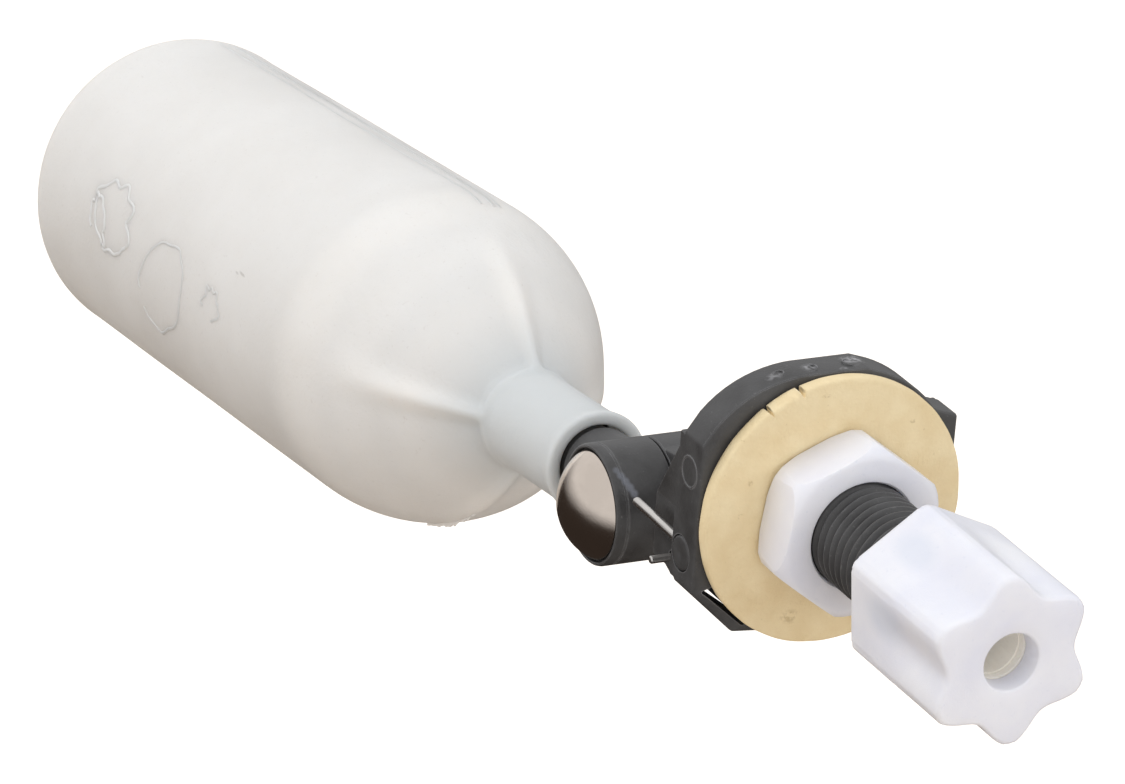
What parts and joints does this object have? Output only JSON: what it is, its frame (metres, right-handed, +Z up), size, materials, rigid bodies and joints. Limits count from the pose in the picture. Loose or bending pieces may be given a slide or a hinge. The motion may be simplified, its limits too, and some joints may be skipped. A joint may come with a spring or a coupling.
{
  "type": "float valve",
  "caption": "Miniature float valve for a tank wall: threaded shank with tube nut, wall gasket, hinged lever and a bottle float on an adjustable arm.",
  "frame": {"origin": "on the shank's axis, in the plane of the wall gasket's sealing face", "axes": "+X along the shank out of the tank towards the tube nut, +Z up, Y along the lever's hinge pin"},
  "size_m": [0.253, 0.0462, 0.075],
  "materials": {
    "black_plastic": "moulded black acetal, satin",
    "white_nylon": "white nylon, faintly bluish, satin",
    "cream_gasket": "cream foam rubber, matt, fine pores",
    "natural_acetal": "natural acetal, satin",
    "stainless_steel": "drawn stainless wire",
    "bright_chrome": "polished bright plating",
    "black_rubber": "black nitrile, matt",
    "milky_polythene": "translucent milky blow-moulded polythene"
  },
  "bodies": {
    "body": {"valve_body": "black_plastic", "orifice_insert": "natural_acetal", "wall_gasket": "cream_gasket", "ear_plug_left": "black_plastic", "ear_plug_right": "black_plastic", "guide_pin_left": "stainless_steel", "guide_pin_right": "stainless_steel", "hinge_pin": "stainless_steel"},
    "lock_nut": {"lock_nut": "white_nylon"},
    "tube_seal": {"compression_sleeve": "natural_acetal", "grab_ring": "natural_acetal"},
    "tube_nut": {"compression_nut": "white_nylon"},
    "lever": {"lever": "black_plastic", "seat_disc": "black_rubber"},
    "clamp_washers": {"clamp_washer": "stainless_steel", "lock_washer": "stainless_steel"},
    "wing_nut": {"wing_nut": "stainless_steel"},
    "float_arm": {"float_arm": "black_plastic", "dome_screw": "bright_chrome", "neck_o_ring": "black_rubber"},
    "float": {"float_bottle": "milky_polythene"}
  },
  "joints": [
    {"name": "lever_hinge", "type": "hinge", "parent": "body", "child": "lever", "pos_m": [-0.0172, 0, -0.0119], "axis": [0, 1, 0], "range_deg": [0, 12]},
    {"name": "arm_angle", "type": "hinge", "parent": "lever", "child": "float_arm", "pos_m": [-0.0473, 0, -0.0186], "axis": [0, 1, 0], "range_deg": [-60, 60]},
    {"name": "float_turn", "type": "hinge", "parent": "float_arm", "child": "float", "pos_m": [-0.0473, 0, -0.0186], "axis": [-0.9945, 0, -0.1045], "continuous": true},
    {"name": "lock_nut_travel", "type": "slide", "parent": "body", "child": "lock_nut", "axis": [1, 0, 0], "range_m": [0, 0.0135]},
    {"name": "seal_travel", "type": "slide", "parent": "body", "child": "tube_seal", "axis": [1, 0, 0], "range_m": [0, 0.0114]},
    {"name": "tube_nut_turn", "type": "hinge", "parent": "tube_seal", "child": "tube_nut", "pos_m": [0.035, 0, 0], "axis": [1, 0, 0], "range_deg": [0, 2880]},
    {"name": "washer_travel", "type": "slide", "parent": "lever", "child": "clamp_washers", "axis": [0, 1, 0], "range_m": [0, 0.0015]},
    {"name": "wing_nut_turn", "type": "hinge", "parent": "clamp_washers", "child": "wing_nut", "pos_m": [-0.0473, 0.012, -0.0186], "axis": [0, 1, 0], "range_deg": [0, 720]}
  ],
  "couplings": [
    {"joint": "seal_travel", "follows": "tube_nut_turn", "m_per_rad": 0.00022441},
    {"joint": "washer_travel", "follows": "wing_nut_turn", "m_per_rad": 0.00011141}
  ]
}
